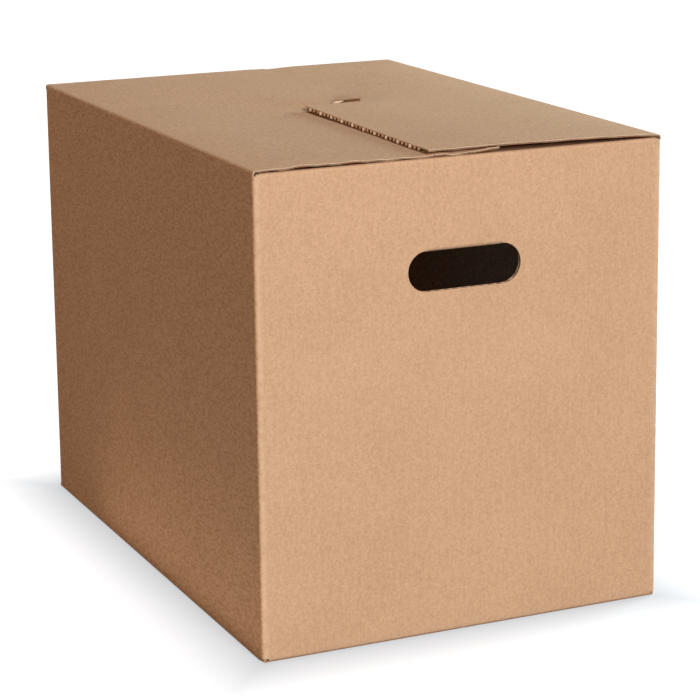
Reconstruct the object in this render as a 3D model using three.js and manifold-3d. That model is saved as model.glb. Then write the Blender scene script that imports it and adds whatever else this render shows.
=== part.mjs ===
// A moving box: one die-cut sheet of single-wall corrugated board, folded up and glued.
// X runs across the end walls, Y along the box and Z up. The origin lies under the middle
// of the box, at the level that it stands on. All sizes are in millimetres.

import * as THREE from 'three';
import { mergeVertices } from 'three/addons/utils/BufferGeometryUtils.js';
import Module from 'manifold-3d';

const wasm = await Module();
wasm.setup();

// The box as it stands, outside
const boxWidth = 345;
const boxLength = 500;
const boxHeight = 380.5;

// The board: two liners on a fluted medium, and what a fold or a cut does to it
const board = 3.5;
const liner = 0.45;
const medium = 0.4;
const flutePitch = 7.5;
const fluteCutDepth = 3;
const foldInside = 0.5;
const cornerRadius = 3.25;
const crushedBoard = 2.2;
const crushRun = 10;
const layerGap = 0.45;

// The long walls' top flaps, halved together by a slit at the middle of the length
const flapOverlap = 60;
const flapSetback = 1.2;
const slitWidth = 6;
const slitPlay = 1;
const fanSpread = 1.2;
const fanLean = 0.8;
const liftLead = 5;
const springUp = 1;
const centreSag = 1.5;
const sagReach = 110;
const rearPress = 0.4;
const rearPressRun = 25;

// The end walls' flaps, which lie inside the others
const innerFlapLength = 200;
const innerFlapSideGap = 1.5;
const endFoldGap = 1.1;
const innerFlapSettle = 1.4;
const innerFlapSettleRun = 12;
const innerFlapSag = 1.5;
const bottomFoldGap = 0.3;

// The bottom flaps' seam and the glued corner
const bottomSeam = 1;
const tabWidth = 35;
const tabTaper = 10;
const tabEndGap = 2;
const seamGap = 0.4;
const seamStep = 0.5;

// The hand holes, whose cut-out stays hinged at its top edge and is folded up inside
const holeWidth = 96;
const holeHeight = 32;
const holeDrop = 73;
const flapStandOff = 0.5;

const wallX = boxWidth / 2;
const endY = boxLength / 2;
const insideX = wallX - board;
const insideY = endY - board;
const foldRadius = board + foldInside;
const cutEdgeY = endY - flapSetback;
const innerFlapHalfWidth = insideX - innerFlapSideGap;
const topCrown = boxHeight - crushedBoard - endFoldGap;
const bottomCrown = crushedBoard + bottomFoldGap;
const holeTop = boxHeight - holeDrop;
const lap = 8;
const overcut = 2;

// Solids from three.js shapes
function solid(geometry) {
  const closed = geometry.clone();
  closed.deleteAttribute('normal');
  closed.deleteAttribute('uv');
  const merged = mergeVertices(closed, 1e-4);
  return new wasm.Manifold(new wasm.Mesh({
    numProp: 3,
    vertProperties: new Float32Array(merged.attributes.position.array),
    triVerts: new Uint32Array(merged.index.array),
  }));
}

function extruded(shapes, depth, curveSegments = 3) {
  return new THREE.ExtrudeGeometry(shapes, { depth, bevelEnabled: false, curveSegments });
}

function block(x0, x1, y0, y1, z0, z1) {
  return new THREE.BoxGeometry(x1 - x0, y1 - y0, z1 - z0)
    .translate((x0 + x1) / 2, (y0 + y1) / 2, (z0 + z1) / 2);
}

// An outline drawn as (Y, Z) and pushed along X, and one drawn as (X, Z) and pushed along Y
function alongX(shapes, x0, x1, curveSegments) {
  const axes = new THREE.Matrix4().makeBasis(
    new THREE.Vector3(0, 1, 0), new THREE.Vector3(0, 0, 1), new THREE.Vector3(1, 0, 0));
  return extruded(shapes, x1 - x0, curveSegments).applyMatrix4(axes).translate(x0, 0, 0);
}

function alongY(shapes, y0, y1, curveSegments) {
  return extruded(shapes, y1 - y0, curveSegments).rotateX(Math.PI / 2).translate(0, y1, 0);
}

function turned(geometry) {
  return geometry.clone().rotateZ(Math.PI);
}

// The four walls: a ring with three folded corners and one lapped one
function wallRing() {
  const outline = new THREE.Shape();
  outline.moveTo(cornerRadius - wallX, -endY);
  outline.lineTo(wallX - cornerRadius, -endY);
  outline.absarc(wallX - cornerRadius, cornerRadius - endY, cornerRadius, -Math.PI / 2, 0);
  outline.lineTo(wallX, endY - seamStep);
  outline.lineTo(insideX + seamGap, endY - seamStep);
  outline.lineTo(insideX + seamGap, endY - cornerRadius);
  outline.absarc(insideX - cornerRadius, endY - cornerRadius, cornerRadius, 0, Math.PI / 2);
  outline.lineTo(cornerRadius - wallX, endY);
  outline.absarc(cornerRadius - wallX, endY - cornerRadius, cornerRadius, Math.PI / 2, Math.PI);
  outline.lineTo(-wallX, cornerRadius - endY);
  outline.absarc(cornerRadius - wallX, cornerRadius - endY, cornerRadius, Math.PI, Math.PI * 1.5);

  const inside = new THREE.Path();
  inside.moveTo(-insideX, -insideY);
  inside.lineTo(-insideX, insideY);
  inside.lineTo(insideX, insideY);
  inside.lineTo(insideX, -insideY);
  inside.closePath();
  outline.holes.push(inside);

  const bottom = foldRadius;
  const top = boxHeight - foldRadius;
  return solid(extruded(outline, top - bottom).translate(0, 0, bottom));
}

// The strip of the back wall that is glued inside the right wall
function glueTab() {
  const low = bottomCrown + board + innerFlapSettle + tabEndGap;
  const high = topCrown - board - innerFlapSettle - tabEndGap;
  const outline = new THREE.Shape();
  outline.moveTo(insideY, low);
  outline.lineTo(insideY, high);
  outline.lineTo(insideY - tabWidth, high - tabTaper);
  outline.lineTo(insideY - tabWidth, low + tabTaper);
  outline.closePath();
  return solid(alongX(outline, insideX - board, insideX));
}

// How far behind the crossing a point counts: 0 in front of it, 1 behind it. The change
// spreads out like a fan from the end of the slits and leans towards the back.
function rearShare(x, y) {
  const spread = Math.max(slitWidth / 2, fanSpread * Math.abs(x));
  return THREE.MathUtils.smoothstep(y - fanLean * Math.abs(x), -spread, spread);
}

// Thickness of a long wall's flap, which is crushed along its two cut ends
function flapThickness(y) {
  const fromCut = Math.min(1, (cutEdgeY - Math.abs(y)) / crushRun);
  return crushedBoard + (board - crushedBoard) * fromCut;
}

// Height of the top flap of one side over the folds' crown. On its own side of the middle
// it rests on the inner flaps in one half and on the other flap's edge in the other half.
// Past the middle it lies one layer under or over the other flap. The back ends are pressed
// together; the front ends gape.
function topRise(side, x, y) {
  const layer = layerGap + (y > 0 ? flapThickness(y) : board);
  if (x * side < 0) {
    return topRise(-side, x, y) - side * Math.sign(y) * layer;
  }
  const lifted = side < 0 ? rearShare(x, y) : 1 - rearShare(x, y);
  const flapStart = wallX - foldRadius;
  const liftEdge = flapOverlap / 2 + liftLead;
  const fromEdge = THREE.MathUtils.clamp((Math.abs(x) - liftEdge) / (flapStart - liftEdge), 0, 1);
  const bow = springUp * (27 / 4) * fromEdge ** 2 * (1 - fromEdge);
  const sag = centreSag * Math.exp(-((y / sagReach) ** 2)) * (1 - (x / flapStart) ** 2);
  const press = rearPress * THREE.MathUtils.smoothstep(y, cutEdgeY - rearPressRun, cutEdgeY);
  return bow - sag - press + layer * lifted * (1 - fromEdge);
}

function spaced(from, to, steps, power = 1) {
  return Array.from({ length: steps + 1 }, (_, k) => from + (to - from) * (k / steps) ** power);
}

// Places across a flap, from the wall round the fold to the cut edge, and along it
const wallRows = 2;
const foldRows = 3;

function rowsAcross(reach) {
  const flapStart = wallX - foldRadius;
  if (reach < 0) {
    return spaced(flapStart, -reach, 5).slice(1);
  }
  const toCrossing = spaced(flapStart, reach + liftLead, 5).slice(1);
  const pastMiddle = spaced(0, reach, 7, 1.5).slice(1);
  return [...toCrossing, ...[...pastMiddle].reverse(), 0, ...pastMiddle.map((x) => -x)];
}

function placesAlong() {
  const half = [...spaced(slitWidth / 2, cutEdgeY - crushRun, 11, 2), cutEdgeY];
  return [...half.map((y) => -y).reverse(), 0, ...half];
}

// A long wall's flap with its fold, bent from a flat block of small faces. The block's X
// runs from the wall to the cut edge, its Y along the flap and its Z through the board.
// up is 1 at the top of the box and -1 at the bottom.
function longFlap(side, up, reach, rise) {
  const across = rowsAcross(reach);
  const along = placesAlong();
  const rows = wallRows + foldRows + across.length;
  const sheet = new THREE.BoxGeometry(1, 1, 1, rows - 1, along.length - 1, 1);
  const place = sheet.attributes.position;
  const level = (depth) => (up > 0 ? boxHeight - depth : depth);
  for (let i = 0; i < place.count; i += 1) {
    const row = Math.round((place.getX(i) + 0.5) * (rows - 1));
    const y = -side * up * along[Math.round((place.getY(i) + 0.5) * (along.length - 1))];
    const inward = place.getZ(i) > 0 ? 0 : flapThickness(y);
    let x = wallX - inward;
    let depth = foldRadius + lap * (1 - row);
    if (row >= wallRows) {
      const turn = Math.min(1, (row - wallRows + 1) / foldRows) * Math.PI / 2;
      x = wallX - foldRadius + (foldRadius - inward) * Math.cos(turn);
      depth = foldRadius - (foldRadius - inward) * Math.sin(turn);
    }
    if (row >= wallRows + foldRows) {
      x = across[row - wallRows - foldRows];
      depth = inward - rise(side, side * x, y);
    }
    place.setXYZ(i, side * x, y, level(depth));
  }
  return solid(sheet);
}

// The hollows of the fluted medium that show on a cut edge: one over each trough of the
// wave and one under each crest. topOf gives the height of the board's upper face.
function fluteHollow(centreY, upward, topOf) {
  const swing = board / 2 - liner - medium / 2;
  const middle = (y) => topOf(y) - board / 2;
  const reach = flutePitch * 0.42;
  const steps = 6;
  const outline = new THREE.Shape();
  for (let k = 0; k <= steps; k += 1) {
    const offset = -reach + (2 * reach * k) / steps;
    const wave = upward * (medium / 2 - swing * Math.cos((2 * Math.PI * offset) / flutePitch));
    const y = centreY + offset;
    if (k === 0) {
      outline.moveTo(y, middle(y) + wave);
    } else {
      outline.lineTo(y, middle(y) + wave);
    }
  }
  const ceiling = upward * (board / 2 - liner);
  outline.lineTo(centreY + reach, middle(centreY + reach) + ceiling);
  outline.lineTo(centreY - reach, middle(centreY - reach) + ceiling);
  return outline;
}

// The open flutes along the edge of the half flap that lies on top
function openFlutes(side) {
  const edgeX = -side * (flapOverlap / 2);
  const half = -side;
  const topOf = (y) => boxHeight + topRise(side, edgeX, y);
  const first = slitWidth / 2 + flutePitch;
  const count = Math.floor((cutEdgeY - crushRun - first) / (flutePitch / 2));
  const hollows = Array.from({ length: count }, (_, k) => {
    const y = half * (first + (k * flutePitch) / 2);
    return fluteHollow(y, k % 2 ? 1 : -1, topOf);
  });
  const inner = edgeX + side * fluteCutDepth;
  const outer = edgeX - side * overcut;
  return solid(alongX(hollows, Math.min(inner, outer), Math.max(inner, outer)));
}

function slit(side) {
  const from = side * slitPlay;
  const to = -side * (flapOverlap / 2 + overcut);
  const tall = 4 * board;
  return solid(block(Math.min(from, to), Math.max(from, to),
    -slitWidth / 2, slitWidth / 2, boxHeight - tall, boxHeight + tall));
}

function topFlap(side) {
  return longFlap(side, 1, flapOverlap / 2, topRise).subtract(slit(side));
}

function bottomFlap(side) {
  return longFlap(side, -1, -bottomSeam / 2, () => 0);
}

// An end wall's flap with its fold, at the top and at the bottom, drawn for the front wall
function innerFlapOutline(crown, up) {
  const at = (fromEnd, depth) => [fromEnd - endY, crown - up * depth];
  const outline = new THREE.Shape();
  outline.moveTo(...at(0, foldRadius + lap));
  outline.lineTo(...at(0, foldRadius));
  const [arcY, arcZ] = at(foldRadius, foldRadius);
  outline.absarc(arcY, arcZ, foldRadius, Math.PI, up > 0 ? Math.PI / 2 : Math.PI * 1.5, up > 0);
  const settle = up > 0 ? innerFlapSettle : bottomCrown - board;
  const sag = up > 0 ? innerFlapSag : 0;
  outline.lineTo(...at(innerFlapSettleRun, settle));
  outline.lineTo(...at(innerFlapLength, settle + sag));
  outline.lineTo(...at(innerFlapLength, settle + sag + board));
  outline.lineTo(...at(innerFlapSettleRun, settle + board));
  outline.lineTo(...at(board, board));
  outline.lineTo(...at(board, foldRadius + lap));
  outline.closePath();
  return outline;
}

function innerFlap(crown, up) {
  return alongX(innerFlapOutline(crown, up), -innerFlapHalfWidth, innerFlapHalfWidth);
}

// What an end wall loses above and below, where its folds take over from the straight wall
function endWallTrim() {
  const reachOut = endY + overcut;
  const across = innerFlapHalfWidth;
  const top = block(-across, across, -reachOut, -insideY, topCrown - foldRadius, boxHeight);
  const bottom = block(-across, across, -reachOut, -insideY, 0, bottomCrown + foldRadius);
  return [top, bottom];
}

// A hand hole: a slot with round ends, and the room for its hinge over the straight part
const hingeRadius = board + flapStandOff / 2;
const hingeHalf = (holeWidth - holeHeight) / 2;
const hingeLevel = holeTop + hingeRadius;

function slotOutline(baseZ) {
  const radius = holeHeight / 2;
  const outline = new THREE.Shape();
  outline.moveTo(-hingeHalf, baseZ);
  outline.lineTo(hingeHalf, baseZ);
  outline.absarc(hingeHalf, baseZ + radius, radius, -Math.PI / 2, Math.PI / 2);
  outline.lineTo(-hingeHalf, baseZ + holeHeight);
  outline.absarc(-hingeHalf, baseZ + radius, radius, Math.PI / 2, Math.PI * 1.5);
  return outline;
}

function handHole() {
  const outside = -endY - overcut;
  const inside = -insideY + overcut;
  const slot = alongY(slotOutline(holeTop - holeHeight), outside, inside, 6);
  const hingeRoom = block(-hingeHalf, hingeHalf, outside, inside, holeTop - overcut, hingeLevel);
  return [slot, hingeRoom];
}

// The cut-out of a hand hole: a half-round fold at its hinge and the piece turned up inside
function foldedCutOut() {
  const at = (inward, z) => [inward - endY, z];
  const slugFace = board + flapStandOff;
  const fold = new THREE.Shape();
  fold.moveTo(...at(0, hingeLevel));
  fold.absarc(...at(hingeRadius, hingeLevel), hingeRadius, Math.PI, Math.PI * 2);
  fold.lineTo(...at(2 * hingeRadius, hingeLevel + overcut));
  fold.lineTo(...at(slugFace, hingeLevel + overcut));
  fold.lineTo(...at(slugFace, hingeLevel));
  fold.absarc(...at(hingeRadius, hingeLevel), flapStandOff / 2, Math.PI * 2, Math.PI, true);
  fold.lineTo(...at(board, hingeLevel + overcut));
  fold.lineTo(...at(0, hingeLevel + overcut));
  fold.closePath();
  const hinge = solid(alongX(fold, -hingeHalf, hingeHalf, 4));

  const whole = solid(alongY(slotOutline(holeTop), slugFace - endY, slugFace + board - endY, 6));
  const below = solid(block(-holeWidth, holeWidth, -endY, endY, 0, hingeLevel));
  return hinge.add(whole.subtract(below));
}

// The folded sheet
function carton() {
  let sheet = wallRing();
  for (const facing of [(geometry) => geometry, turned]) {
    for (const cut of [...endWallTrim(), ...handHole()]) {
      sheet = sheet.subtract(solid(facing(cut)));
    }
    sheet = sheet.add(solid(facing(innerFlap(topCrown, 1))));
    sheet = sheet.add(solid(facing(innerFlap(bottomCrown, -1))));
  }
  const cutOut = foldedCutOut();
  sheet = sheet.add(cutOut).add(cutOut.rotate([0, 0, 180]));
  sheet = sheet.add(glueTab());
  for (const side of [-1, 1]) {
    sheet = sheet.add(topFlap(side).subtract(openFlutes(side)));
    sheet = sheet.add(bottomFlap(side));
  }
  return sheet;
}

function meshOf(body) {
  const { numProp, vertProperties, triVerts } = body.getMesh();
  const geometry = new THREE.BufferGeometry();
  geometry.setAttribute('position', new THREE.BufferAttribute(vertProperties, numProp));
  geometry.setIndex(new THREE.BufferAttribute(triVerts, 1));
  geometry.computeVertexNormals();
  return geometry;
}

const kraftBoard = new THREE.MeshStandardMaterial({ color: 0xc49a72, roughness: 0.9, metalness: 0 });
const cartonMesh = new THREE.Mesh(meshOf(carton()), kraftBoard);
cartonMesh.name = 'carton';

const movingBox = new THREE.Group();
movingBox.add(cartonMesh);

export default movingBox;
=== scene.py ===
"""A kraft moving carton: one sheet of corrugated board, its two long top flaps halved together."""

import math

import bmesh
import bpy
from mathutils import Matrix, Vector, noise


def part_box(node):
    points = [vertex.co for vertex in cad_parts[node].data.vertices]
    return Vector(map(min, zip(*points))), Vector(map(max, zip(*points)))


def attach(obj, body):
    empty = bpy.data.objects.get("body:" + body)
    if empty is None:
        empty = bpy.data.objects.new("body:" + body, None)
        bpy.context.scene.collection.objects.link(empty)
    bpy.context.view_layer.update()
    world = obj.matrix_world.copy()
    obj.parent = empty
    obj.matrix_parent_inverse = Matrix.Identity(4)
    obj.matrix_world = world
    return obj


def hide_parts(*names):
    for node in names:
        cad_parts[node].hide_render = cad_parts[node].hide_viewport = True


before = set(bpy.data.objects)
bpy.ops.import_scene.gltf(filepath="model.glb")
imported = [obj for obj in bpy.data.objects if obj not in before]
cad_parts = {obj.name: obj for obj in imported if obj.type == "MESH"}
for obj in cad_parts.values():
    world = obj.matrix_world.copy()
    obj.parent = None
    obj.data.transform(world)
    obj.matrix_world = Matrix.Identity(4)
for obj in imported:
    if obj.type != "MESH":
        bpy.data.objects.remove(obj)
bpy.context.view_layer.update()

# Lengths are worked out in millimetres and turned into metres where a mesh is made
MM = 0.001

# The box as it stands, outside
box_low, box_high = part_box("carton")
box_width = (box_high[0] - box_low[0]) / MM
box_length = (box_high[1] - box_low[1]) / MM
box_height = 380.5

# The board: two liners on a fluted medium
board = 3.5
liner = 0.4
medium = 0.3
flute_pitch = 7.5
fold_radius = 4.0
fold_squareness = 0.55
corner_radius = 3.25
crushed_board = 2.2
crush_run = 10.0
layer_gap = 0.45

# The halved top flaps
flap_overlap = 60.0
flap_setback = 1.2
slit_width = 6.0
slit_play = 1.0
fan_spread = 1.2
fan_lean = 0.8
lift_lead = 5.0
spring_up = 1.0
centre_sag = 1.5
sag_reach = 110.0
rear_press = 0.4
rear_press_run = 25.0

# The end walls' flaps, inside the others
inner_flap_length = 200.0
inner_flap_side_gap = 1.5
corner_crown = box_height - 3.0
front_crown = box_height - 2.5
back_crown = box_height - 3.1
flat_end = 1.0
bottom_crown = flat_end + 0.2
settle = 2.2
settle_run = 6.0
inner_flap_sag = 1.5
bottom_seam = 1.0
bottom_setback = 2.2

# The hand holes and their folded cut-outs
hole_width = 96.0
hole_height = 32.0
hole_top = box_height - 73.0
stand_off = 0.5
cut_out_gap = 0.25
hinge_radius = board + stand_off / 2
hinge_half = (hole_width - hole_height) / 2
hinge_level = hole_top + hinge_radius
hinge_droop = 1.35

# The right flap's free edge leans away from the middle towards its slit, and its front arches up
right_flap_skew = 4.5
right_arch = 1.1
right_arch_row = 110.0
right_arch_reach = 140.0

# The board pressed shut along the inner part of the left flap's slit
lip_length = 13.0
lip_end = 0.5
lip_swell = 0.95
lip_front = 0.1
lip_back = 0.6

# The flaps' front ends, frayed by the knife and by handling
upper_fray = 0.7
lower_fray = 1.3
fray_run = 3.0
fray_size = 9.0
fine_fray_size = 3.0
left_wave = 1.1
right_wave = 0.35
wave_size = 14.0
rolled_liner = 0.3
front_pinch = 0.7
back_pinch = 1.0
pinch_change = 0.35
unevenness = 0.12
unevenness_size = 35.0
flat_by_fold = 20.0

# The left flap's front corner, bent up until it meets the flap above it
curl_lift = 1.8
curl_from = 2.0
curl_to = 30.0
curl_run = 16.0
curl_dip = 0.3
dip_from = -40.0
crumple_height = 0.7
crumple_size = 7.0
crumple_from = -45.0
crumple_to = 5.0

# The back ends, pressed flat on each other
rear_flat_run = 32.0
rear_flat_end = 2.0
left_rear_drop = 0.1
right_rear_drop = 1.3
right_rear_from = 28.0
right_rear_to = 75.0

# The torn tips of the flutes, every third one large
small_tip_reach = 0.55
large_tip_reach = 1.1
small_tip_width = 2.2
large_tip_width = 2.7
tip_reach_change = 0.3
tip_width_change = 0.7
tip_lean = 0.2
tip_root = 0.8

# The bottom flaps' front ends
bottom_crush_run = 9.0
bottom_crush_in = 1.2
bottom_crush_up = 0.5

# Meshes: the steps between points across a flap, and how far a cutter reaches beyond its work
liner_step = 3.2
wave_step = 14
cut_margin = 3
slit_reach = 16
hinge_overlap = 1

# The medium shown round a hand hole
waves_beside = 12
waves_above = 14

# The walls' faint hollows
hollow_depth = 0.5
hollow_size = 120.0
hollow_edge = 40.0

# The glued corner
tab_width = 35.0
tab_taper = 10.0
seam_step = 0.5
lap_gap = 0.1
tab_low = 9.4
tab_high = 370.0
tab_glue = 0.5

wall_x = box_width / 2
end_y = box_length / 2
inside_x = wall_x - board
inside_y = end_y - board
cut_edge_y = end_y - flap_setback
flap_start = wall_x - fold_radius
inner_flap_half = inside_x - inner_flap_side_gap


def clamp(value, low=0.0, high=1.0):
    """The value, kept between low and high."""
    return max(low, min(high, value))


def smoothstep(value, low, high):
    """0 below low and 1 above high, with a soft step between them."""
    t = clamp((value - low) / (high - low))
    return t * t * (3 - 2 * t)


def spaced(start, stop, steps):
    """The places that part the way from start to stop into equal steps."""
    return [start + (stop - start) * (k / steps) for k in range(steps + 1)]


def even(start, stop, step):
    """Places about one step apart."""
    return spaced(start, stop, max(1, round(abs(stop - start) / step)))


def wobble(x, y, size, seed=0.0):
    """A smooth random height from about -1 to 1 that changes over size millimetres."""
    return noise.noise(Vector((x / size, y / size, seed)))


# Meshes


def plain_block(name, corners, faces, finishes, indexes):
    """A mesh object from corners in millimetres, with one finish index for each face."""
    mesh = bpy.data.meshes.new(name)
    mesh.from_pydata([Vector(c) * MM for c in corners], [], faces)
    for finish in finishes:
        mesh.materials.append(finish)
    mesh.polygons.foreach_set("material_index", indexes)
    block = bpy.data.objects.new(name, mesh)
    bpy.context.collection.objects.link(block)
    return block


def new_piece(name, corners, faces, finishes, indexes):
    """A block that belongs to the box and is shaded smooth up to its sharp edges."""
    piece = plain_block(name, corners, faces, finishes, indexes)
    piece.data.shade_smooth()
    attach(piece, "root")
    return piece


class Shells:
    """Gathers closed sheets and blocks that become one piece."""

    def __init__(self):
        self.corners = []
        self.faces = []
        self.indexes = []

    def sheet(self, rows, columns, outer, inner, faced, edged):
        """A closed sheet between two surfaces, each a function of a row and a column value."""
        first = len(self.corners)
        wide = len(columns)
        count = len(rows) * wide
        for surface in (outer, inner):
            self.corners += [surface(r, c) for r in rows for c in columns]

        def at(i, j, surface_index):
            return first + surface_index * count + i * wide + j

        for i in range(len(rows) - 1):
            for j in range(wide - 1):
                self.face(faced, at(i, j, 0), at(i, j + 1, 0),
                          at(i + 1, j + 1, 0), at(i + 1, j, 0))
                self.face(faced, at(i, j, 1), at(i + 1, j, 1),
                          at(i + 1, j + 1, 1), at(i, j + 1, 1))
        last_row, last_column = len(rows) - 1, wide - 1
        for j in range(last_column):
            self.face(edged, at(0, j, 0), at(0, j, 1), at(0, j + 1, 1), at(0, j + 1, 0))
            self.face(edged, at(last_row, j, 0), at(last_row, j + 1, 0),
                      at(last_row, j + 1, 1), at(last_row, j, 1))
        for i in range(last_row):
            self.face(edged, at(i, 0, 0), at(i + 1, 0, 0), at(i + 1, 0, 1), at(i, 0, 1))
            self.face(edged, at(i, last_column, 0), at(i, last_column, 1),
                      at(i + 1, last_column, 1), at(i + 1, last_column, 0))

    def face(self, index, *corners):
        self.faces.append(corners)
        self.indexes.append(index)

    def prism(self, outline, start, stop, steps, place, faced=0, edged=1):
        """An outline pushed from start to stop. place turns (outline point, way) into a corner."""
        first = len(self.corners)
        ways = spaced(start, stop, steps)
        for way in ways:
            self.corners += [place(point, way) for point in outline]
        n = len(outline)
        for k in range(steps):
            for i in range(n):
                a = first + k * n + i
                b = first + k * n + (i + 1) % n
                self.face(faced, a, b, b + n, a + n)
        self.face(edged, *[first + i for i in reversed(range(n))])
        self.face(edged, *[first + steps * n + i for i in range(n)])

    def take(self, block):
        """Adds the shells of a plain mesh object and deletes the object."""
        first = len(self.corners)
        self.corners += [corner.co / MM for corner in block.data.vertices]
        for polygon in block.data.polygons:
            self.face(polygon.material_index, *[first + k for k in polygon.vertices])
        bpy.data.objects.remove(block, do_unlink=True)

    def piece(self, name, finishes):
        piece = new_piece(name, self.corners, self.faces, finishes, self.indexes)
        upright(piece)
        return piece


def upright(piece):
    """Turns each closed shell's faces outwards."""
    shape = bmesh.new()
    shape.from_mesh(piece.data)
    bmesh.ops.recalc_face_normals(shape, faces=shape.faces)
    shape.to_mesh(piece.data)
    shape.free()
    piece.data.set_sharp_from_angle(angle=math.radians(35))


def cut(piece, cutter):
    """Takes the cutter out of the piece and deletes the cutter."""
    knife = piece.modifiers.new("cut", "BOOLEAN")
    knife.operation = "DIFFERENCE"
    knife.solver = "EXACT"
    knife.use_self = False
    knife.material_mode = "TRANSFER"
    knife.object = cutter
    bpy.context.view_layer.objects.active = piece
    bpy.ops.object.modifier_apply(modifier=knife.name)
    bpy.data.objects.remove(cutter, do_unlink=True)
    piece.data.set_sharp_from_angle(angle=math.radians(35))


def prism_cutter(outline, start, stop, place, finish):
    """A block to cut with, whose finish is left on the cut faces."""
    shells = Shells()
    shells.prism(outline, start, stop, 1, place, 0, 0)
    cutter = plain_block("cutter", shells.corners, shells.faces, [finish], shells.indexes)
    upright(cutter)
    return cutter


# Finishes


class Wire:
    """One socket of a finish, so that shader maths reads like sums."""

    def __init__(self, finish, socket):
        self.finish = finish
        self.socket = socket

    def maths(self, operation, *values):
        return self.finish.node("Math", {"operation": operation}, dict(enumerate(values)))

    def __add__(self, other):
        return self.maths("ADD", self, other)

    def __sub__(self, other):
        return self.maths("SUBTRACT", self, other)

    def __rsub__(self, other):
        return self.maths("SUBTRACT", other, self)

    def __mul__(self, other):
        return self.maths("MULTIPLY", self, other)

    def __abs__(self):
        return self.maths("ABSOLUTE", self)

    def wave(self):
        return self.maths("SINE", self)

    def above(self, low, high):
        """0 below low and 1 above high, with a soft step between them."""
        settings = {"interpolation_type": "SMOOTHSTEP"}
        values = {"Value": self, "From Min": low, "From Max": high}
        return self.finish.node("MapRange", settings, values)

    __radd__ = __add__
    __rmul__ = __mul__


class Finish:
    """A material whose nodes are added one call at a time."""

    def __init__(self, name):
        self.material = bpy.data.materials.new(name)
        self.material.use_nodes = True
        self.tree = self.material.node_tree
        self.shader = self.tree.nodes["Principled BSDF"]
        self.place = self.node("TexCoord", {}, {}, "Object")

    def node(self, kind, settings, values, output=0):
        made = self.tree.nodes.new("ShaderNode" + kind)
        for key, value in settings.items():
            setattr(made, key, value)
        for key, value in values.items():
            self.feed(made.inputs[key], value)
        return Wire(self, made.outputs[output])

    def feed(self, socket, value):
        if isinstance(value, Wire):
            self.tree.links.new(value.socket, socket)
        else:
            socket.default_value = value

    def noise(self, size, detail=2.0, roughness=0.5, stretch=(1, 1, 1)):
        """Cloudy values round 0.5 that change over about size metres."""
        spread = self.node("VectorMath", {"operation": "MULTIPLY"}, {0: self.place, 1: stretch})
        values = {"Vector": spread, "Scale": 1 / size, "Detail": detail, "Roughness": roughness}
        return self.node("TexNoise", {}, values)

    def axis(self, letter, vector=None):
        return self.node("SeparateXYZ", {}, {0: vector or self.place}, letter)

    def mix(self, share, low, high):
        """Colours mixed by a share from 0 to 1."""
        return self.node("Mix", {"data_type": "RGBA"}, {0: share, 6: low, 7: high}, 2)

    def bump(self, height, distance, strength=1.0, under=None):
        values = {"Height": height, "Distance": distance, "Strength": strength}
        if under:
            values["Normal"] = under
        return self.node("Bump", {}, values)

    def finished(self, colour, roughness, normal):
        self.feed(self.shader.inputs["Base Color"], colour)
        self.feed(self.shader.inputs["Roughness"], roughness)
        self.feed(self.shader.inputs["Normal"], normal)
        self.shader.inputs["Specular IOR Level"].default_value = 0.18
        return self.material


def shade(red, green, blue):
    """A colour as a screen shows it, from 0 to 255, turned into the shader's linear values."""
    return tuple(((c / 255 + 0.055) / 1.055) ** 2.4 for c in (red, green, blue)) + (1.0,)


def kraft_liner():
    """Brown liner: mottled fibre, faint cloudiness, flutes that print through with faint painted
    light and shade stripes, and a painted highlight beside the end walls' corner folds.
    """
    finish = Finish("kraft_liner")
    clouds = finish.noise(0.07, 2.0)
    mottle = finish.noise(0.0021, 2.0, 0.5, along_machine)
    grain = finish.noise(0.0013, 3.0, 0.6, along_machine)
    fibre = finish.noise(0.0018, 2.0, 0.5, (1.0, 1.0, 0.22))
    tone = 0.12 * clouds + 0.32 * mottle + 0.41 * grain + 0.15 * fibre
    colour = finish.mix(tone.above(0.30, 0.70), shade(*liner_dark), shade(*liner_light))

    facing = finish.node("NewGeometry", {}, {}, "True Normal")
    end_wall = abs(finish.axis("Y", facing)).above(0.5, 0.8)
    across = finish.axis("X") * end_wall + finish.axis("Y") * (1 - end_wall)
    flutes = (across * (2 * math.pi / (flute_pitch * MM))).wave()
    # Painted light and shade: faint paler stripes along the flutes, as their washboard would catch
    # the light.
    colour = finish.mix(flutes * 0.015 + 0.015, colour, shade(*liner_pale))

    speckle = finish.noise(0.0017, 2.0, 0.6, along_machine).above(0.36, 0.64)
    side_wall = abs(finish.axis("X", facing)).above(0.5, 0.8)
    share = side_wall * 0.30 + (1 - end_wall) * 0.08
    colour = finish.mix(share * speckle, colour, shade(*liner_deep))
    colour = finish.mix(share * (1 - speckle), colour, shade(*liner_pale))

    # Painted highlight: the end walls are paler in a band beside their corner folds, broken up by
    # noise.
    corner_band = abs(finish.axis("X")).above((wall_x - 7) * MM, (wall_x - 1) * MM) * end_wall
    painted_corner_highlight = corner_band * finish.noise(0.006, 3.0).above(0.25, 0.6)
    colour = finish.mix(painted_corner_highlight * 0.45, colour, shade(*liner_pale))
    relief = finish.bump(grain * 0.6 + mottle * 0.4, 0.00012, 0.5)
    relief = finish.bump(flutes, 0.00003, 0.4, relief)
    return finish.finished(colour, 0.78 + 0.16 * grain, relief)


def cut_board():
    """The raw cut through the liners: paler and rough."""
    finish = Finish("cut_board")
    grain = finish.noise(0.0009, 4.0, 0.7)
    colour = finish.mix(grain.above(0.35, 0.65), shade(*cut_dark), shade(*cut_light))
    return finish.finished(colour, 0.85 + 0.1 * grain, finish.bump(grain, 0.0002, 0.7))


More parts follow.
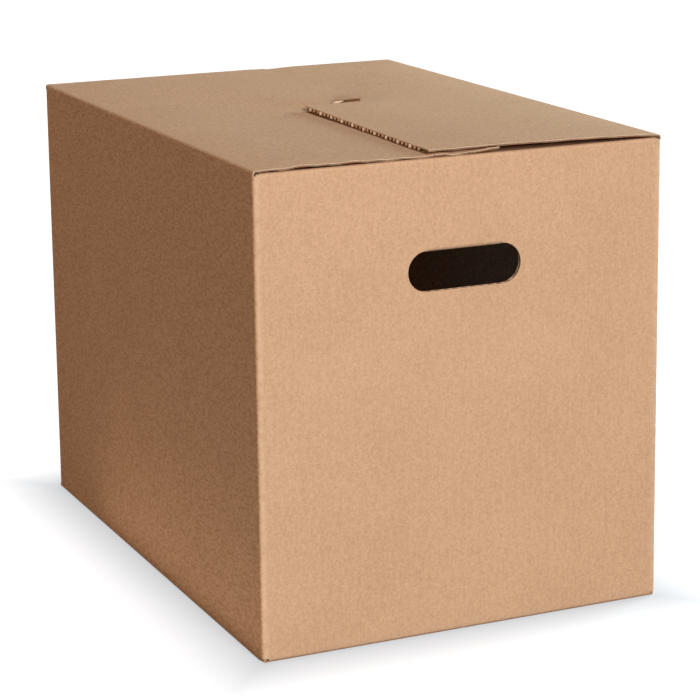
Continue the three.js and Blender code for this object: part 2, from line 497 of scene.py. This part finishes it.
def torn_edge():
    """The upper liner's cut end and the flutes' tips: pale torn fibre, brighter in places."""
    finish = Finish("torn_edge")
    grain = finish.noise(0.0012, 4.0, 0.7)
    beat = (finish.axis("Y") * (2 * math.pi / (3 * flute_pitch * MM))).wave().above(0.3, 0.9)
    colour = finish.mix(grain.above(0.3, 0.7), shade(*torn_dark), shade(*torn_light))
    colour = finish.mix(beat * 0.6, colour, shade(*torn_bright))
    return finish.finished(colour, 0.85 + 0.1 * grain, finish.bump(grain, 0.0002, 0.7))


def fluted_medium():
    """The greyer, darker paper of the waves."""
    finish = Finish("fluted_medium")
    grain = finish.noise(0.0012, 3.0, 0.6)
    colour = finish.mix(grain.above(0.3, 0.7), shade(*medium_dark), shade(*medium_light))
    return finish.finished(colour, 0.85 + 0.1 * grain, finish.bump(grain, 0.0001, 0.5))


def floor_with_painted_shadow():
    """A pale floor that glows bright enough to fade into the background, with a painted grey shadow
    round the box's foot.
    """
    finish = Finish("floor_with_painted_shadow")
    grain = finish.noise(0.4, 2.0)
    colour = finish.mix(grain, (0.20, 0.20, 0.21, 1.0), (0.22, 0.22, 0.22, 1.0))
    # Painted shadow: the floor's glow is grey at the box's foot and fades to white away from it.
    beside = finish.node("Math", {"operation": "MAXIMUM"}, {
        0: abs(finish.axis("X")) - wall_x * MM, 1: abs(finish.axis("Y")) - end_y * MM})
    glow = finish.mix(beside.above(-0.06, 0.09), shade(*painted_floor_shadow), shade(*floor_far))
    finish.feed(finish.shader.inputs["Emission Color"], glow)
    finish.shader.inputs["Emission Strength"].default_value = 1.0
    return finish.finished(colour, 0.9 + 0.05 * grain, finish.bump(grain, 0.0001, 0.1))


along_machine = (1.0, 0.40, 1.0)
liner_deep = (165, 125, 92)
liner_dark = (191, 151, 116)
liner_light = (218, 178, 141)
liner_pale = (233, 201, 168)
cut_dark = (140, 103, 72)
cut_light = (200, 162, 126)
torn_dark = (190, 156, 124)
torn_light = (224, 197, 169)
torn_bright = (238, 219, 196)
medium_dark = (112, 82, 58)
medium_light = (168, 132, 99)
# The grey of the floor's painted shadow at the box's foot.
painted_floor_shadow = (147, 155, 162)
floor_far = (255, 255, 255)

kraft = kraft_liner()
raw_edge = cut_board()
waves = fluted_medium()
finishes = [kraft, raw_edge, waves, torn_edge()]
LINER, EDGE, WAVE, TORN = 0, 1, 2, 3

# The walls, from the right wall's cut edge round to the strip glued inside it


def arc(centre_x, centre_y, radius, start, stop, steps):
    """Stations on a folded corner: place, inward direction and radius left inside."""
    stations = []
    for angle in spaced(start, stop, steps):
        out = (math.cos(math.radians(angle)), math.sin(math.radians(angle)))
        place = (centre_x + radius * out[0], centre_y + radius * out[1])
        stations.append((*place, -out[0], -out[1], radius))
    return stations


def straight(start, stop, inward, step=7.0):
    """Stations along a flat wall, with close ones at its ends."""
    length = math.dist(start, stop)
    ways = [0, 0.6, 1.4] + even(4, length - 4, step) + [length - 1.4, length - 0.6, length]
    return [
        (start[0] + (stop[0] - start[0]) * w / length, start[1] + (stop[1] - start[1]) * w / length,
         *inward, 1000.0)
        for w in ways
    ]


def wall_stations():
    """Stations round the box: right wall, front, left wall, back and the turn into the strip."""
    r = corner_radius
    corner_x, corner_y = wall_x - r, end_y - r
    steps = 8
    return [
        *straight((wall_x, end_y - seam_step), (wall_x, -corner_y), (-1, 0)),
        *arc(corner_x, -corner_y, r, 0, -90, steps)[1:-1],
        *straight((corner_x, -end_y), (-corner_x, -end_y), (0, 1)),
        *arc(-corner_x, -corner_y, r, -90, -180, steps)[1:-1],
        *straight((-wall_x, -corner_y), (-wall_x, corner_y), (1, 0)),
        *arc(-corner_x, corner_y, r, 180, 90, steps)[1:-1],
        *straight((-corner_x, end_y), (inside_x - r, end_y), (0, -1)),
        *arc(inside_x - r - lap_gap, corner_y, r, 90, 6, steps)[1:],
    ]


def wall_span(station):
    """The lowest and highest point of the walls at a station."""
    x, y, _, inward_y, _ = station
    if abs(inward_y) > 0.99 and abs(x) <= inner_flap_half:
        return bottom_crown + fold_radius, (front_crown if y < 0 else back_crown) - fold_radius
    beside_flap = abs(inward_y) > 0.99 and y < 0
    return fold_radius, corner_crown if beside_flap else box_height - fold_radius


def wall_hollow(station, z):
    """How far the board sinks in here: walls are never quite flat."""
    x, y, inward_x, inward_y, radius = station
    if radius < 100:
        return 0
    along = x if abs(inward_y) > 0.5 else y
    side = 3 * inward_x + 7 * inward_y
    half = wall_x if abs(inward_y) > 0.5 else end_y
    from_corner = smoothstep(half - abs(along), 0, hollow_edge)
    from_fold = smoothstep(min(z, box_height - z), 3, hollow_edge)
    unsteady = 0.5 + 0.5 * wobble(along, z, hollow_size, side)
    return hollow_depth * from_corner * from_fold * unsteady


def wall_point(station, share, depth):
    """A point of the walls, a share of the way up and a depth in from their outer face."""
    x, y, inward_x, inward_y, radius = station
    low, high = wall_span(station)
    z = low + (high - low) * share
    sink = min(depth, radius - 0.1) + wall_hollow(station, z)
    return (x + inward_x * sink, y + inward_y * sink, z)


def slot_outline(base):
    """A slot with round ends as (X, Z) points, its lower edge at base."""
    radius = hole_height / 2
    points = []
    for centre, start in ((hinge_half, -90), (-hinge_half, 90)):
        for angle in spaced(start, start + 180, 24):
            turn = math.radians(angle)
            points.append((centre + radius * math.cos(turn),
                           base + radius + radius * math.sin(turn)))
    return points


def in_end(point, way):
    """An (X, Z) point of an end wall, at its place along the box."""
    return (point[0], way, point[1])


def walls():
    """The four walls as two liners that stand a board apart, with the hand holes cut."""
    shells = Shells()
    stations = wall_stations()
    rows = [0, 0.002, 0.006] + spaced(0.015, 0.985, 44) + [0.994, 0.998, 1]
    for near, far in ((0, liner), (board - liner, board)):
        shells.sheet(
            rows, stations,
            lambda r, s, d=near: wall_point(s, r, d),
            lambda r, s, d=far: wall_point(s, r, d),
            LINER, EDGE)
    piece = shells.piece("walls", finishes)
    for facing in (-1, 1):
        cut_hand_hole(piece, facing)
    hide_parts("carton")
    return piece


def cut_hand_hole(piece, facing):
    """Opens the slot and the room over its straight part for the hinge."""
    near, far = sorted((facing * (end_y + cut_margin), facing * (inside_y - cut_margin)))
    slot = slot_outline(hole_top - hole_height)
    cut(piece, prism_cutter(slot, near, far, in_end, raw_edge))
    room_low = hole_top - hinge_overlap
    room = [(-hinge_half, room_low), (hinge_half, room_low),
            (hinge_half, hinge_level), (-hinge_half, hinge_level)]
    cut(piece, prism_cutter(room, near, far, in_end, raw_edge))


def hand_hole_waves(facing, name):
    """The fluted medium inside an end wall, round its hand hole."""
    shells = Shells()
    swing = board / 2 - liner - medium / 2 - lap_gap
    half = hole_width / 2 + waves_beside

    def wave(z, x, offset):
        crest = swing * math.cos(2 * math.pi * x / flute_pitch)
        sink = board / 2 + crest + offset + wall_hollow((x, facing * end_y, 0, -facing, 1000.0), z)
        return (x, facing * (end_y - sink), z)

    shells.sheet(
        even(hole_top - hole_height - waves_above, hole_top + waves_above, 6),
        even(-half, half, flute_pitch / 12),
        lambda z, x: wave(z, x, -medium / 2),
        lambda z, x: wave(z, x, medium / 2), WAVE, WAVE)
    piece = shells.piece(name, finishes)
    cut_hand_hole(piece, facing)
    return piece


def glue_tab():
    """The strip of the back wall that is glued inside the right wall."""
    shells = Shells()
    tab_end = inside_y - tab_width
    outline = [(inside_y, tab_low), (inside_y, tab_high),
               (tab_end, tab_high - tab_taper), (tab_end, tab_low + tab_taper)]
    shells.prism(
        outline, inside_x - board, inside_x - 2 * lap_gap - tab_glue, 1,
        lambda p, x: (x, *p), EDGE, LINER)
    return shells.piece("glue_tab", finishes)


def folded_cut_outs():
    """The hand holes' cut-outs: a round fold under the hinge and the piece turned up inside."""
    shells = Shells()
    slug_face = board + stand_off
    fold_level = hinge_level - hinge_droop
    for facing in (-1, 1):
        fold = [(0.0, hinge_level)]
        for angle in spaced(180, 360, 16):
            turn = math.radians(angle)
            fold.append((hinge_radius * (1 + math.cos(turn)),
                         fold_level + hinge_radius * math.sin(turn)))
        fold += [(2 * hinge_radius, hinge_level), (slug_face, hinge_level)]
        for angle in spaced(360, 180, 6):
            turn = math.radians(angle)
            small = stand_off / 2
            fold.append((hinge_radius + small * math.cos(turn),
                         fold_level + small * math.sin(turn)))
        fold.append((board, hinge_level))

        def on_wall(point, x, f=facing):
            sink = wall_hollow((x, f * end_y, 0, -f, 1000.0), hinge_level)
            return (x, f * (end_y - sink - point[0]), point[1])

        shells.prism(fold, -hinge_half, hinge_half, 24, on_wall)
        slug = [(x, z) for x, z in slot_outline(hole_top) if z >= hinge_level]
        shells.prism(
            slug, slug_face + cut_out_gap, slug_face + board + cut_out_gap, 1,
            lambda p, way, f=facing: (p[0], f * (end_y - way), p[1]), EDGE, LINER)
    return shells.piece("hand_hole_cut_outs", finishes)


# The long walls' flaps


def rear_share(x, y):
    """0 in front of the crossing and 1 behind it, spreading like a fan from the slits' ends."""
    spread = max(slit_width / 2, fan_spread * abs(x))
    return smoothstep(y - fan_lean * abs(x), -spread, spread)


def top_rise(side, x, y):
    """Height of one side's top flap over the folds' crown, as in the solid model."""
    from_cut = clamp((cut_edge_y - abs(y)) / crush_run)
    crushed = crushed_board + (board - crushed_board) * from_cut
    layer = layer_gap + (crushed if y > 0 else board)
    if x * side < 0:
        over = -side if y > 0 else side
        return top_rise(-side, x, y) + over * layer
    lifted = rear_share(x, y) if side < 0 else 1 - rear_share(x, y)
    lift_edge = flap_overlap / 2 + lift_lead
    from_edge = clamp((abs(x) - lift_edge) / (flap_start - lift_edge))
    bow = spring_up * 27 / 4 * from_edge ** 2 * (1 - from_edge)  # spring_up at its highest
    sag = centre_sag * math.exp(-((y / sag_reach) ** 2)) * (1 - (x / flap_start) ** 2)
    press = rear_press * smoothstep(y, cut_edge_y - rear_press_run, cut_edge_y)
    return bow - sag - press + layer * lifted * (1 - from_edge)


def flap_thickness(x, y):
    """The ends are crushed unevenly, where the knife and the handling pressed them."""
    from_cut = clamp((cut_edge_y - abs(y)) / crush_run)
    pinched = crushed_board - (front_pinch if y < 0 else back_pinch)
    crushed = pinched + pinch_change * wobble(x, math.copysign(40, y), wave_size, 3.0)
    return crushed + (board - crushed) * smoothstep(from_cut, 0, 1)


def front_curl(side, x, y):
    """The lower flap's front corner, bent up until it meets the flap above it."""
    if side > 0 or y > 0:
        return 0
    near_end = smoothstep(-y, cut_edge_y - curl_run, cut_edge_y)
    crumple = crumple_height * wobble(x, 0, crumple_size, 5.0)
    crumple *= smoothstep(x, crumple_from, crumple_to)
    lift = curl_lift * smoothstep(x, curl_from, curl_to)
    return near_end * (lift + crumple - curl_dip * smoothstep(x, dip_from, 0))


def fold_curve(turn):
    """A folded board's quarter turn, squarer than a circle, from (1, 0) to (0, 1)."""
    cosine, sine = max(0.0, math.cos(turn)), max(0.0, math.sin(turn))
    return cosine ** fold_squareness, sine ** fold_squareness


def rear_rise(side, x):
    """The back ends lie pressed flat, one flap's end on the other's."""
    if side < 0:
        return -left_rear_drop
    return -right_rear_drop * (1 - smoothstep(x, right_rear_from, right_rear_to))


def flap_rise(side, x, y):
    """Height of one side's top flap over the folds' crown, with its back end pressed flat."""
    share = smoothstep(y, cut_edge_y - rear_flat_run, cut_edge_y - rear_flat_end)
    return top_rise(side, x, y) * (1 - share) + rear_rise(side, x) * share


def liner_end(y):
    """The upper liner looks thicker at the front, where the knife rolled it over."""
    return liner + rolled_liner * smoothstep(-y, cut_edge_y - fray_run, cut_edge_y)


def flap_point(side, row, y, depth, ragged=0.0):
    """A point of a top flap. row is -1 to 0 round the fold, then the way to the cut edge."""
    torn = ragged * smoothstep(-y, cut_edge_y - fray_run, cut_edge_y)
    fray = wobble(side * row, y, fray_size, ragged)
    fine_fray = wobble(side * row, y, fine_fray_size, ragged)
    y_place = y - torn * (fray + 0.5 * fine_fray)
    if row <= 0:
        outward, upward = fold_curve((row + 1) * math.pi / 2)
        reach = fold_radius - depth
        return (side * (flap_start + reach * outward), y_place,
                box_height - fold_radius + reach * upward)
    skew = right_flap_skew * (1 - smoothstep(abs(y), 0, cut_edge_y)) if side > 0 else 0.0
    x = side * (flap_start - row * (1 - skew / flap_start))
    fade = smoothstep(row, 0, flat_by_fold)
    uneven = unevenness * fade * wobble(x, y, unevenness_size, side)
    wave = left_wave if side < 0 else right_wave
    lift = wave * torn * fade * wobble(x, y, wave_size, 9.0) + front_curl(side, x, y)
    if side > 0 and y < 0:
        near_edge = smoothstep(row, right_arch_row, flap_start)
        lift += right_arch * near_edge * smoothstep(y, -right_arch_reach, 0)
    return (x, y_place, box_height + flap_rise(side, x, y) + uneven + lift - depth)


def flap_rows(step):
    """Ways across a top flap, closer together at the crossing."""
    middle = flap_start
    edge = flap_start + flap_overlap / 2
    return [
        *spaced(-1, 0, 8)[:-1],
        *even(0, middle - 34, step)[:-1],
        *even(middle - 34, middle - 8, step * 0.6)[:-1],
        *even(middle - 8, middle + 8, 1.0)[:-1],
        *even(middle + 8, edge, step * 0.6),
    ]


def flap_columns():
    """Places along a flap, closer together at the crushed ends and at the slits."""
    end = cut_edge_y
    half = [*even(0, 12, 0.75)[:-1], *even(12, 60, 3)[:-1], *even(60, end - crush_run, 5)[:-1],
            *even(end - crush_run, end, 1.0)]
    return [-y for y in reversed(half[1:])] + half


def wave_columns():
    """Places along a flap that follow its waves and end behind the rolled liner."""
    return even(-cut_edge_y + 3.2, cut_edge_y - 0.8, flute_pitch / 10)


def wave_depth(x, y, offset):
    """How deep the fluted medium runs under a flap's upper face."""
    thickness = flap_thickness(x, y)
    swing = max(0.2, thickness / 2 - liner - medium / 2 - lap_gap)
    return thickness / 2 + swing * math.cos(2 * math.pi * y / flute_pitch) + offset


def top_flap(side, name):
    """A long flap of two liners with waves between them, slit from its free edge."""
    near, far = sorted((side * slit_play, -side * (flap_overlap / 2 + cut_margin)))
    half = slit_width / 2
    slit = [(near, -half), (far, -half), (far, half), (near, half)]
    whole = Shells()

    def x_of(row):
        return side * (flap_start - max(0, row))

    def slit_sheet(rows, columns, outer, inner, faced, edged):
        """One paper of the board, cut by itself so that it can't disturb the others."""
        paper = Shells()
        paper.sheet(rows, columns, outer, inner, faced, edged)
        block = plain_block("paper", paper.corners, paper.faces, finishes, paper.indexes)
        upright(block)
        cut(block, prism_cutter(
            slit, box_height - slit_reach, box_height + slit_reach,
            lambda p, z: (p[0], p[1], z), raw_edge))
        whole.take(block)

    slit_sheet(
        flap_rows(liner_step), flap_columns(),
        lambda r, y: flap_point(side, r, y, 0, upper_fray),
        lambda r, y: flap_point(side, r, y, liner_end(y), upper_fray), LINER, TORN)
    slit_sheet(
        flap_rows(liner_step), flap_columns(),
        lambda r, y: flap_point(side, r, y, flap_thickness(x_of(r), y) - liner, lower_fray),
        lambda r, y: flap_point(side, r, y, flap_thickness(x_of(r), y), lower_fray), LINER, EDGE)
    slit_sheet(
        flap_rows(wave_step), wave_columns(),
        lambda r, y: flap_point(side, r, y, wave_depth(x_of(r), y, -medium / 2)),
        lambda r, y: flap_point(side, r, y, wave_depth(x_of(r), y, medium / 2)), WAVE, TORN)
    return whole.piece(name, finishes)


def flute_tips():
    """Torn ends of the flutes that stand out of the right flap's free edge."""
    shells = Shells()
    edge = flap_start + flap_overlap / 2
    count = int((cut_edge_y - crush_run - slit_width) / flute_pitch)
    for k in range(count):
        start = -(slit_width / 2 + 3 + k * flute_pitch)
        large = k % 3 == 1
        reach = large_tip_reach if large else small_tip_reach
        reach += tip_reach_change * wobble(k * 7.0, 3.0, 5)
        width = large_tip_width if large else small_tip_width
        width += tip_width_change * wobble(k * 5.0, 9.0, 5)
        root = edge - tip_root
        outline = [(root, start - width), (root, start), (edge + reach, start - tip_lean)]
        low, high = (0.45, board - 0.5) if large else (0.6, board - 1.0)
        shells.prism(
            outline, low, high, 1,
            lambda p, depth: flap_point(1, p[0], p[1], depth), TORN, TORN)
    return shells.piece("flute_tips", finishes)


def slit_lip():
    """The left flap's board pressed shut along the inner half of its slit."""
    shells = Shells()
    y = slit_width / 2
    middle = board / 2

    def place(x, share, back):
        swell = lip_swell * math.sin(math.pi * (x - slit_play) / lip_length)
        return (x, y + back, box_height + flap_rise(-1, x, y) - middle + share * swell)

    shells.sheet(
        spaced(slit_play + lip_end, slit_play + lip_length - lip_end, 10), (-1, 0, 1),
        lambda x, share: place(x, share, lip_front),
        lambda x, share: place(x, share, lip_back), TORN, TORN)
    return shells.piece("slit_lip", finishes)


def bottom_flap(side, name):
    """A long flap under the box, folded in and pressed thin at its ends."""
    shells = Shells()
    rows = [*spaced(-1, 0, 8)[:-1], *even(0, flap_start - bottom_seam / 2, 12)]
    columns = flap_columns()

    def place(row, y, depth):
        outward, downward = fold_curve(min(1, row + 1) * math.pi / 2)
        reach = fold_radius - depth
        x = flap_start + reach * outward if row <= 0 else flap_start - row
        z = fold_radius - reach * downward if row <= 0 else depth
        under = smoothstep(flap_start + fold_radius - x, 0, 2 * fold_radius)
        under *= smoothstep(-y, 0, 100)
        crushed = smoothstep(-y, cut_edge_y - bottom_crush_run, cut_edge_y)
        crushed *= smoothstep(x, flap_start - fold_radius, flap_start)
        return (side * (x - bottom_crush_in * crushed),
                y * (1 - bottom_setback * under / cut_edge_y),
                z + bottom_crush_up * crushed * (1 - z / fold_radius))

    def thickness(y):
        return flat_end + (board - flat_end) * clamp((cut_edge_y - abs(y)) / crush_run)

    shells.sheet(
        rows, columns,
        lambda r, y: place(r, y, 0),
        lambda r, y: place(r, y, thickness(y)), LINER, EDGE)
    return shells.piece(name, finishes)


# The end walls' flaps


def end_flap(facing, up, name):
    """An end wall's flap, folded in under the top flaps or over the bottom ones."""
    shells = Shells()
    crown = bottom_crown if up < 0 else front_crown if facing < 0 else back_crown
    drop = settle if up > 0 else board - bottom_crown
    sag = inner_flap_sag if up > 0 else 0
    rows = [*spaced(-1, 0, 8)[:-1], *even(0, inner_flap_length - fold_radius, 8)]

    def place(row, x, depth):
        outward, onward = fold_curve(min(1, row + 1) * math.pi / 2)
        reach = fold_radius - depth
        if row <= 0:
            way = fold_radius - reach * outward
            down = fold_radius - reach * onward
        else:
            way = fold_radius + row
            down = depth + drop * smoothstep(row, 0, settle_run)
            down += sag * row / inner_flap_length
        return (x, facing * (end_y - way), crown - up * down)

    shells.sheet(
        rows, even(-inner_flap_half, inner_flap_half, 4),
        lambda r, x: place(r, x, 0), lambda r, x: place(r, x, board), LINER, EDGE)
    return shells.piece(name, finishes)


walls()
hand_hole_waves(-1, "hand_hole_waves_front")
hand_hole_waves(1, "hand_hole_waves_back")
glue_tab()
folded_cut_outs()
top_flap(-1, "top_flap_left")
top_flap(1, "top_flap_right")
flute_tips()
slit_lip()
bottom_flap(-1, "bottom_flap_left")
bottom_flap(1, "bottom_flap_right")
end_flap(-1, 1, "top_end_flap_front")
end_flap(1, 1, "top_end_flap_back")
end_flap(-1, -1, "bottom_end_flap_front")
end_flap(1, -1, "bottom_end_flap_back")

# The floor, the light and the camera

floor_reach = 40.0
floor_mesh = bpy.data.meshes.new("floor")
floor_mesh.from_pydata(
    [(-floor_reach, -floor_reach, 0), (floor_reach, -floor_reach, 0),
     (floor_reach, floor_reach, 0), (-floor_reach, floor_reach, 0)], [], [(0, 1, 2, 3)])
floor_mesh.materials.append(floor_with_painted_shadow())
floor = bpy.data.objects.new("floor", floor_mesh)
bpy.context.collection.objects.link(floor)
floor.visible_diffuse = False


def soft_light(name, azimuth, elevation, distance, size, watts, colour):
    """A square light that looks at the box's middle."""
    lamp = bpy.data.lights.new(name, "AREA")
    lamp.energy = watts
    lamp.size = size
    lamp.color = colour
    light = bpy.data.objects.new(name, lamp)
    a, e = math.radians(azimuth), math.radians(elevation)
    middle = Vector((0, 0, box_height / 2 * MM))
    out = Vector((math.sin(a) * math.cos(e), -math.cos(a) * math.cos(e), math.sin(e)))
    light.location = middle + out * distance
    light.rotation_euler = out.to_track_quat("Z", "Y").to_euler()
    bpy.context.collection.objects.link(light)


soft_light("key", -3, 22, 4.5, 1.4, 191, (1.0, 0.965, 0.965))
soft_light("overhead", 180, 63, 1.22, 0.6, 2.6, (0.88, 0.93, 1.0))
soft_light("right_graze", 95, 19, 1.3, 0.5, 18, (0.74, 0.93, 1.0))
soft_light("left_fill", -95, 15, 3.0, 1.6, 16.5, (1.0, 0.42, 0.0))
soft_light("right_fill", 92, 3, 3.0, 0.8, 4, (1.0, 0.20, 0.12))
soft_light("back_fill", 180, 4, 3.0, 0.8, 14, (1.0, 0.97, 0.94))

# Light thrown back by the floor at the foot of the left wall, and what reaches the inside
bounce = bpy.data.lights.new("floor_bounce", "AREA")
bounce.shape = "RECTANGLE"
bounce.size = 0.12
bounce.size_y = 0.50
bounce.energy = 0.097
bounce.color = (1.0, 0.88, 0.72)
bounce_light = bpy.data.objects.new("floor_bounce", bounce)
bounce_light.location = (-0.245, -0.13, 0.003)
bounce_light.rotation_euler = (math.pi, 0, 0)
bounce_light.visible_camera = False
bpy.context.collection.objects.link(bounce_light)

inside = bpy.data.lights.new("inside_glow", "POINT")
inside.energy = 0.026
inside.color = (0.55, 0.75, 1.0)
inside.shadow_soft_size = 0.05
inside_light = bpy.data.objects.new("inside_glow", inside)
inside_light.location = (0.0, 0.0, 0.22)
bpy.context.collection.objects.link(inside_light)

world = bpy.data.worlds.new("studio")
world.use_nodes = True
world.node_tree.nodes["Background"].inputs["Color"].default_value = (1.0, 1.0, 1.0, 1.0)
world.node_tree.nodes["Background"].inputs["Strength"].default_value = 0.08
bpy.context.scene.world = world
bpy.context.scene.view_settings.view_transform = "Standard"

view_azimuth = -24.18
view_elevation = 12.12
view_roll = -0.695
camera_place = Vector((-0.8328, -1.8910, 0.7008))
film_width = 36.0
focal_length = 127.1
film_shift = -1 / 7

camera_data = bpy.data.cameras.new("camera")
camera_data.sensor_width = film_width
camera_data.lens = focal_length
camera_data.shift_y = film_shift
camera_data.clip_end = 200
camera = bpy.data.objects.new("camera", camera_data)
turn = Matrix.Rotation(math.radians(view_azimuth), 4, "Z")
tilt = Matrix.Rotation(math.radians(90 - view_elevation), 4, "X")
roll = Matrix.Rotation(math.radians(view_roll), 4, "Z")
camera.matrix_world = Matrix.Translation(camera_place) @ turn @ tilt @ roll
bpy.context.collection.objects.link(camera)
bpy.context.scene.camera = camera
